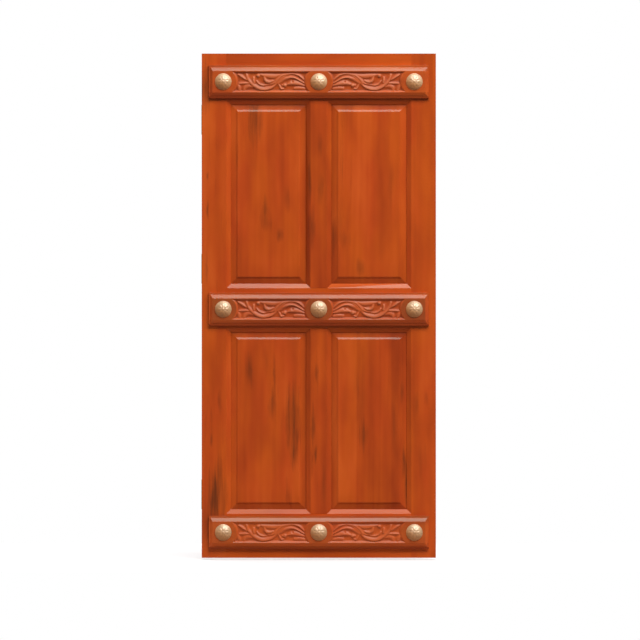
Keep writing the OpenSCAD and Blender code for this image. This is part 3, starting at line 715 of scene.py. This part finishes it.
TEAK_DARK = srgb(152, 55, 17)
TEAK_RED = srgb(183, 69, 22)
TEAK_ORANGE = srgb(187, 78, 20)
TEAK_LIGHT = srgb(206, 91, 32)
TEAK_FLECK = srgb(110, 42, 14)
TEAK_MARK = srgb(108, 47, 18)
# Painted shade of carved hollows and panel slopes
TEAK_PAINTED_SHADE = srgb(96, 28, 6)
# Painted highlight on carved crests
TEAK_PAINTED_HIGHLIGHT = srgb(222, 146, 108)
# Painted sheen on raised carving
TEAK_PAINTED_SHEEN = srgb(188, 100, 62)
# Darker colour of lands, and painted shade on upper bevels
TEAK_DARKENING = srgb(70, 58, 34)
FLECK_SHARE = 0.55
# Carved wood: painted sheen on a recess's floor; shares of painted shade in hollows, highlight on crests
RECESS_SHEEN = 0.1
PAINTED_SHADE_SHARE = 0.45
PAINTED_HIGHLIGHT_SHARE = 0.45


def carving_light_and_shade_group():
    """Colour of carved wood: a painted sheen where it is raised, painted shade in hollows, painted
    highlights on crests, then darker lands and painted shade on upper bevels.
    """
    masks = [(label, FLOAT, 0.0) for label in ("Hollow", "Crest", "Raised", "Darkening", "Painted sheen")]
    group, tree, given, result = node_group(
        "carving_light_and_shade", [("Colour", COLOUR, WHITE)] + masks, [("Colour", COLOUR)])
    painted_sheen = tree.spread(given["Raised"], 0.0, 1.0, RECESS_SHEEN, given["Painted sheen"])
    colour = tree.mix(painted_sheen, given["Colour"], TEAK_PAINTED_SHEEN)
    colour = tree.mix(tree.math("MULTIPLY", given["Hollow"], PAINTED_SHADE_SHARE), colour, TEAK_PAINTED_SHADE)
    colour = tree.mix(tree.math("MULTIPLY", given["Crest"], PAINTED_HIGHLIGHT_SHARE, clamp=True), colour, TEAK_PAINTED_HIGHLIGHT)
    tree.join(tree.mix(given["Darkening"], colour, TEAK_DARKENING), result["Colour"])
    return group


teak_figure = teak_figure_group()
dark_wisp = dark_wisp_group()
panel_slopes = panel_slopes_group()
carving_light_and_shade = carving_light_and_shade_group()

# Varnish: its roughness over pores, fibres and carving, its shine, and the bump of the fibres
VARNISH_ROUGH = 0.2
PORE_ROUGH = 0.06
FIBRE_SMOOTH = 0.03
FIBRE_RANGE = (-0.6, 0.4)
CARVED_ROUGH = 0.36
VARNISH_SPECULAR = 0.26
VARNISH_TINT = (0.35, 1.0, 0.95, 1.0)
FIBRE_BUMP = 0.03
FIBRE_BUMP_D = 0.0004
BOARD_BLUR = 0.0012
# Turns that lay the grain along an axis
ALONG_X = (0, math.pi / 2, 0)
ALONG_Y = (math.pi / 2, 0, 0)
ALONG_Z = (0, 0, 0)


def teak(name, along, shift, tone=0.0, wisps=(), boards=(), foot=None, painted_sheen=None, gloss=1.0):
    """Varnished teak with its grain along an axis: the tone runs through three colours. Wisps are dark
    marks, boards change the tone from an x onwards, foot is a panel's foot, over which its slopes take
    painted shade, a carving's raised parts take a painted sheen of the given strength, and gloss is the
    share of the varnish's shine that is left."""
    material, tree, shader = new_material(name)
    place = tree.add("ShaderNodeTexCoord").outputs["Object"]
    mapping = {"Vector": place, "Location": shift, "Rotation": along}
    figure = tree.group(teak_figure, {"Grain": tree.add("ShaderNodeMapping", mapping).outputs[0]})
    level = tree.math("ADD", figure["Tone"], tone)
    for edge, step in boards:
        across = tree.parts(place)[0]
        level = tree.math("ADD", level, tree.spread(across, edge - BOARD_BLUR, edge + BOARD_BLUR, 0.0, step))
    middle = tree.mix(figure["Warmth"], TEAK_RED, TEAK_ORANGE)
    colour = tree.ramp(level, TEAK_DARK, middle, TEAK_LIGHT)
    colour = tree.mix(tree.math("MULTIPLY", figure["Fleck"], FLECK_SHARE), colour, TEAK_FLECK)
    for wisp in wisps:
        colour = tree.mix(tree.group(dark_wisp, {"Place": place, **wisp})["Mask"], colour, TEAK_MARK)
    if foot is not None:
        # Painted shade on the panel's slopes and the field over its foot
        slopes = tree.group(panel_slopes, {"Place": place, "Foot": foot})
        colour = tree.mix(slopes["Mask"], colour, TEAK_PAINTED_SHADE)
    if painted_sheen is None:
        rough = tree.spread(figure["Fibre"], *FIBRE_RANGE, VARNISH_ROUGH + PORE_ROUGH,
                            VARNISH_ROUGH - FIBRE_SMOOTH)
    else:
        # Carving: painted shade, highlight and sheen, and darker lands, from masks kept with its points
        carving_masks = {label: tree.attribute(label.lower()) for label in ("Hollow", "Crest", "Raised", "Darkening")}
        colour = tree.group(carving_light_and_shade, {"Colour": colour, "Painted sheen": painted_sheen, **carving_masks})["Colour"]
        rough = tree.spread(tree.attribute("worked"), 0.0, 1.0, VARNISH_ROUGH, CARVED_ROUGH)
    tree.join(colour, shader["Base Color"])
    tree.join(rough, shader["Roughness"])
    shader["Specular IOR Level"].default_value = VARNISH_SPECULAR * gloss
    shader["Specular Tint"].default_value = VARNISH_TINT
    tree.join(tree.bump(figure["Fibre"], FIBRE_BUMP, FIBRE_BUMP_D), shader["Normal"])
    return material


# Brass

BOSS_BRIGHT = srgb(216, 173, 126)
BOSS_DULL = srgb(136, 92, 46)
# Painted warm reflection of the wood
BOSS_REFLECTED_WOOD = srgb(206, 124, 48)
BOSS_METAL = 0.15
BOSS_IOR = 2.1
HINGE_BRIGHT = srgb(176, 138, 80)
HINGE_DULL = srgb(112, 84, 46)
HINGE_METAL = 1.0
HINGE_IOR = 1.5
BRASS_ROUGH = 0.36
DULL_ROUGH = 0.15
REFLECTION_SHARE = 0.85
DULL_HOLLOWS = 0.35
# Patina: scale, detail and roughness of its noises, their ranges, and the shares that they dull
PATINA_CLOUDS = (55.0, 4.0, 0.6)
PATINA_CLOUD_RANGE = (0.4, 0.7)
PATINA_CLOUD_SHARE = 0.4
PATINA_SPECKS = (420.0, 3.0, 0.6)
PATINA_SPECK_RANGE = (0.5, 0.75)
PATINA_SPECK_SHARE = 0.25
CAST_GRAIN = (900.0, 2.0, 0.5)
CAST_BUMP = 0.08
CAST_BUMP_D = 0.0003


def patina_group():
    """Patina of brass: soft clouds and fine specks add up to the dull share, beside the casting's grain."""
    group, tree, given, result = node_group(
        "patina", [("Place", VECTOR, ORIGIN)], [("Dull", FLOAT), ("Grain", FLOAT)])
    place = given["Place"]
    cloud = tree.spread(tree.noise(place, *PATINA_CLOUDS), *PATINA_CLOUD_RANGE, 0.0, PATINA_CLOUD_SHARE)
    specks = tree.spread(tree.noise(place, *PATINA_SPECKS), *PATINA_SPECK_RANGE, 0.0, PATINA_SPECK_SHARE)
    tree.join(tree.math("ADD", cloud, specks), result["Dull"])
    tree.join(tree.noise(place, *CAST_GRAIN), result["Grain"])
    return group


patina = patina_group()


def brass(name, bright, dull, metal, ior, reflected_wood=None):
    """Brass between a bright and a dull colour by its patina; with a reflection colour it is an ornament's,
    duller in the hollows and with the wood's warm reflection painted where its points say so."""
    material, tree, shader = new_material(name)
    worn = tree.group(patina, {"Place": tree.add("ShaderNodeTexCoord").outputs["Object"]})
    share = worn["Dull"]
    if reflected_wood is not None:
        hollows = tree.math("MULTIPLY", tree.attribute("hollow"), DULL_HOLLOWS)
        share = tree.math("ADD", share, hollows, clamp=True)
    colour = tree.mix(share, bright, dull)
    if reflected_wood is not None:
        # Painted reflection of the wood
        reflected_share = tree.math("MULTIPLY", tree.attribute("reflected_wood"), REFLECTION_SHARE)
        colour = tree.mix(reflected_share, colour, reflected_wood)
    tree.join(colour, shader["Base Color"])
    tree.join(tree.spread(share, 0.0, 1.0, BRASS_ROUGH, BRASS_ROUGH + DULL_ROUGH), shader["Roughness"])
    shader["Metallic"].default_value = metal
    shader["IOR"].default_value = ior
    tree.join(tree.bump(worn["Grain"], CAST_BUMP, CAST_BUMP_D), shader["Normal"])
    return material


# Photograph's frame: its width, the leaf's middle line and foot in pixels, and millimetres to a pixel

IMAGE_PX = 640
MM_PER_PX = 4.232
LEAF_MIDDLE_PX = 318.8
LEAF_FOOT_PX = 557.8
# Wisps: their spread across, and how ragged they are at most and for each pixel of their width
WISP_WIDE = 1.15
WISP_RAGGED = 1.2
WISP_RAGGED_PX = 0.25


def from_pixel(px, py):
    """Place on the leaf's front, right and up in metres, of a pixel of the photograph."""
    return (px - LEAF_MIDDLE_PX) * MM_PER_PX * MM, (LEAF_FOOT_PX - py) * MM_PER_PX * MM


def mark(px, py, wide_px, tall_px, strength, taper=0.0):
    """Values of a dark wisp about a pixel of the photograph, with its radii in pixels; it narrows upwards by
    its taper."""
    x, z = from_pixel(px, py)
    scale = MM_PER_PX * MM
    over_radius = (1 / (wide_px * WISP_WIDE * scale), 0, 1 / (tall_px * scale))
    ragged = min(WISP_RAGGED, WISP_RAGGED_PX * wide_px)
    return {"Centre": (x, 0, z), "Over radius": over_radius, "Taper": taper, "Ragged": ragged,
            "Strength": strength}


# Wisps where the photograph has them: pixel, radii in pixels, strength and taper
MARKS = {
    "hinge_stile": [
        # The first wisp, left of the top bar, paints the bar's shadow on the stile
        mark(203, 89, 9, 30, 0.8), mark(208, 176, 1.4, 5, 0.6), mark(207.6, 210, 1.6, 12, 0.9),
        mark(206.5, 268, 2, 20, 0.4), mark(220, 402, 2, 16, 0.6), mark(211, 440, 1.6, 9, 0.6),
        mark(217, 492, 10, 46, 1.0, 0.4), mark(210, 525, 12, 34, 0.4)],
    "closing_stile": [
        mark(426, 398, 2.5, 10, 0.4), mark(416, 404, 4, 14, 0.3), mark(422, 460, 5, 20, 0.25)],
    "upper_mullion": [
        mark(310, 182, 2.2, 26, 0.8), mark(312, 226, 3.4, 26, 0.8), mark(320.5, 145, 3, 16, 0.45),
        mark(320.5, 190, 3, 20, 0.5)],
    "lower_mullion": [
        mark(317, 374, 2.4, 12, 0.7, -0.4), mark(313.5, 425, 2.4, 24, 0.7),
        mark(315.5, 455, 1.8, 12, 0.8, -0.4), mark(324, 480, 2.4, 30, 0.4)],
    "upper_left_panel": [
        mark(254.5, 120, 8, 30, 0.8), mark(265, 208, 5, 22, 0.7, 0.75), mark(267, 224, 5, 10, 0.5),
        mark(280, 235, 3.4, 9, 0.75), mark(287, 198, 6, 16, 0.35)],
    "upper_right_panel": [
        mark(334, 236, 4, 22, 0.6), mark(345, 240, 6, 10, 0.3), mark(359.6, 267, 6, 10, 0.4),
        mark(391, 185, 4, 30, 0.25)],
    "lower_left_panel": [
        mark(248.5, 369, 5.5, 22, 0.6), mark(274.5, 375, 1.6, 26, 0.5), mark(272.5, 402, 4, 20, 0.65, 0.5),
        mark(292, 415, 9, 38, 0.75), mark(294.5, 452, 5, 26, 0.9, -0.5), mark(266, 360, 3, 20, 0.3)],
    "lower_right_panel": [
        mark(363, 434, 5, 18, 0.6), mark(404, 462, 3, 18, 0.9, 0.5), mark(407.5, 486, 3, 26, 1.0),
        mark(402, 392, 2, 14, 0.7), mark(394, 420, 3, 50, 0.35), mark(360, 400, 6, 60, 0.3)],
}
# Joints between a panel's boards: x, and the step in tone from there to the right
BOARDS = {
    "lower_right_panel": [(from_pixel(356.6, 0)[0], -0.17), (from_pixel(374, 0)[0], 0.08),
                          (from_pixel(391.4, 0)[0], -0.12)],
}
TONES = {"lower_right_panel": 0.04, "lower_left_panel": -0.04, "upper_mullion": -0.26,
         "lower_mullion": -0.2, "hinge_stile": 0.03, "closing_stile": -0.03}
GLOSS = {"bottom_rail": 0.55}
UPRIGHTS = ["hinge_stile", "closing_stile", "upper_mullion", "lower_mullion"]
RAILS = ["top_rail", "middle_rail", "bottom_rail"]
# Panels, with their visible foot on the rail below
PANEL_FOOT = {f"{row}_{side}_panel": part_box(rail)[1][2]
              for row, rail in (("upper", "middle_rail"), ("lower", "bottom_rail"))
              for side in ("left", "right")}
HINGE_PIECES = ("door_plate", "frame_plate", "pin", "screws")
PAINTED_SHEEN = {"top": 0.55, "middle": 0.36, "bottom": 0.28}
# Places of each piece in the figure: the first one's, and the step to the next
WOOD_SHIFT = (0.11, 0.0, 0.0)
WOOD_STEP = (0.37, 0.53, 1.9)
BAR_SHIFT = (0.0, 2.1, 0.7)
BAR_STEP = (0.3, 0.4, 0.0)
PEG_SHIFT = (0.2, 0.4, 0.1)
PEG_TONE = -0.25
ARRIS = 0.0012
ARRIS_SEGMENTS = 2
ARRIS_ANGLE = math.radians(20)
WELD_GAP = 1e-5


def round_arrises(name):
    """Rounds a CAD node's sharp edges: its triangles are welded, and the edges bevelled."""
    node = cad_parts[name]
    node.modifiers.new("weld", "WELD").merge_threshold = WELD_GAP
    bevel = node.modifiers.new("arris", "BEVEL")
    bevel.width = ARRIS
    bevel.segments = ARRIS_SEGMENTS
    bevel.limit_method = "ANGLE"
    bevel.angle_limit = ARRIS_ANGLE


def dress(name, material):
    """Gives a CAD node one material."""
    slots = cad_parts[name].data.materials
    slots.clear()
    slots.append(material)


def figure_shift(first, step, index):
    """Place in the figure of the piece with this index."""
    return tuple(a + b * index for a, b in zip(first, step))


def dress_wood():
    """Own teak for each stile, rail, mullion and panel, with grain along the piece."""
    for index, name in enumerate(UPRIGHTS + RAILS + list(PANEL_FOOT)):
        along = ALONG_X if name in RAILS else ALONG_Z
        shift = figure_shift(WOOD_SHIFT, WOOD_STEP, index)
        wood = teak(name, along, shift, TONES.get(name, 0.0), MARKS.get(name, ()), BOARDS.get(name, ()),
                    foot=PANEL_FOOT.get(name), gloss=GLOSS.get(name, 1.0))
        dress(name, wood)
        round_arrises(name)


def dress_all():
    """Makes the carved bars and bosses, and gives every piece its material."""
    dress_wood()
    pegs = teak("pegs", ALONG_Y, PEG_SHIFT, tone=PEG_TONE)
    boss_brass = brass("boss_brass", BOSS_BRIGHT, BOSS_DULL, BOSS_METAL, BOSS_IOR, BOSS_REFLECTED_WOOD)
    hinge_brass = brass("hinge_brass", HINGE_BRIGHT, HINGE_DULL, HINGE_METAL, HINGE_IOR)
    for index, level in enumerate(LEVELS):
        wood = teak(f"{level}_bar", ALONG_X, figure_shift(BAR_SHIFT, BAR_STEP, index), painted_sheen=PAINTED_SHEEN[level])
        carved_bar(level).data.materials.append(wood)
        for place in PLACES:
            boss(level, place).data.materials.append(boss_brass)
        dress(f"{level}_rail_pegs", pegs)
        for piece in HINGE_PIECES:
            dress(f"{level}_hinge_{piece}", hinge_brass)


# Stage: floor, world, lamps and camera

FLOOR_Z = -0.008
FLOOR_HALF_W = 1.7
FLOOR_FRONT = -1.1
FLOOR_BACK = 1.7
FLOOR_GREY = srgb(188, 188, 188)
FLOOR_DARK = srgb(60, 60, 60)
FLOOR_ROUGH = 0.9
FLOOR_GLOW = 0.42
# World: strength of its glow from below, level and above, and the directions between which it changes
GLOW_BELOW = 0.16
GLOW_LEVEL = 0.2
GLOW_ABOVE = 0.34
GLOW_RISES = 0.1
BEHIND_RANGE = (0.1, 0.5)
# Lamps: place, target, width and depth in metres, and watts
LEAF_MIDDLE = (0.0, 0.0, 1.07)
KEY_PLACE = (3.2, -4.6, 7.3)
KEY_TARGET = (3.2, 0.0, 1.07)
KEY_SIZE = (9.0, 4.6)
KEY_WATTS = 1010.0
BACK_PLACE = (-2.2, 5.5, 5.5)
BACK_SIZE = (4.0, 3.0)
BACK_WATTS = 480.0
CAMERA_DISTANCE = 24.0
CAMERA_REACH = 100.0
SENSOR_MM = 36.0


def pale_floor():
    """Pale floor that catches the shadow, is near white to the camera, and is clear from below."""
    mesh = bpy.data.meshes.new("floor")
    corners = [(-FLOOR_HALF_W, FLOOR_FRONT, FLOOR_Z), (FLOOR_HALF_W, FLOOR_FRONT, FLOOR_Z),
               (FLOOR_HALF_W, FLOOR_BACK, FLOOR_Z), (-FLOOR_HALF_W, FLOOR_BACK, FLOOR_Z)]
    mesh.from_pydata(corners, [], [(0, 1, 2, 3)])
    floor = bpy.data.objects.new("floor", mesh)
    bpy.context.scene.collection.objects.link(floor)
    material, tree, shader = new_material("pale_floor")
    shader["Roughness"].default_value = FLOOR_ROUGH
    shader["Specular IOR Level"].default_value = 0.0
    shader["Emission Color"].default_value = WHITE
    rays = tree.add("ShaderNodeLightPath").outputs
    tree.join(tree.mix(rays["Is Glossy Ray"], FLOOR_GREY, FLOOR_DARK), shader["Base Color"])
    tree.join(tree.math("MULTIPLY", rays["Is Camera Ray"], FLOOR_GLOW), shader["Emission Strength"])
    beneath = tree.add("ShaderNodeNewGeometry").outputs["Backfacing"]
    tree.join(tree.math("SUBTRACT", 1.0, beneath), shader["Alpha"])
    mesh.materials.append(material)


def soft_world():
    """White to the camera, and behind the door to reflections too; else a soft glow, brighter above."""
    world = bpy.data.worlds.new("studio")
    bpy.context.scene.world = world
    world.use_nodes = True
    tree = Tree(world.node_tree)
    _, back, up = tree.parts(tree.add("ShaderNodeTexCoord").outputs["Generated"])
    rays = tree.add("ShaderNodeLightPath").outputs
    mirrored = tree.math("MAXIMUM", rays["Is Glossy Ray"], rays["Is Transmission Ray"])
    behind = tree.math("MULTIPLY", mirrored, tree.spread(back, *BEHIND_RANGE))
    white = tree.math("MAXIMUM", rays["Is Camera Ray"], behind)
    glow = tree.math("ADD", tree.spread(up, -1.0, 1.0, GLOW_BELOW, GLOW_LEVEL),
                     tree.spread(up, GLOW_RISES, 1.0, 0.0, GLOW_ABOVE))
    level = tree.math("ADD", glow, tree.math("MULTIPLY", white, tree.math("SUBTRACT", 1.0, glow)))
    background = tree.nodes["Background"].inputs
    background["Color"].default_value = WHITE
    tree.join(level, background["Strength"])


def area_light(name, place, target, size, watts):
    """Rectangular lamp at a place, turned to a target."""
    lamp = bpy.data.lights.new(name, "AREA")
    lamp.shape = "RECTANGLE"
    lamp.size, lamp.size_y = size
    lamp.energy = watts
    light = bpy.data.objects.new(name, lamp)
    light.location = place
    light.rotation_euler = (Vector(target) - Vector(place)).to_track_quat("-Z", "Y").to_euler()
    bpy.context.scene.collection.objects.link(light)
    return light


def front_camera():
    """Camera square to the leaf, far back, framed as the photograph is."""
    camera = bpy.data.cameras.new("front")
    camera.sensor_width = SENSOR_MM
    camera.lens = SENSOR_MM * CAMERA_DISTANCE / (IMAGE_PX * MM_PER_PX * MM)
    camera.clip_end = CAMERA_REACH
    holder = bpy.data.objects.new("front", camera)
    x, z = from_pixel(IMAGE_PX / 2, IMAGE_PX / 2)
    holder.location = (x, -CAMERA_DISTANCE, z)
    holder.rotation_euler = (math.pi / 2, 0, 0)
    bpy.context.scene.collection.objects.link(holder)
    bpy.context.scene.camera = holder


def stage():
    """Floor, light and camera."""
    pale_floor()
    soft_world()
    area_light("key", KEY_PLACE, KEY_TARGET, KEY_SIZE, KEY_WATTS)
    back = area_light("back", BACK_PLACE, LEAF_MIDDLE, BACK_SIZE, BACK_WATTS)
    back.visible_glossy = False
    front_camera()
    bpy.context.scene.view_settings.view_transform = "Standard"


dress_all()
stage()
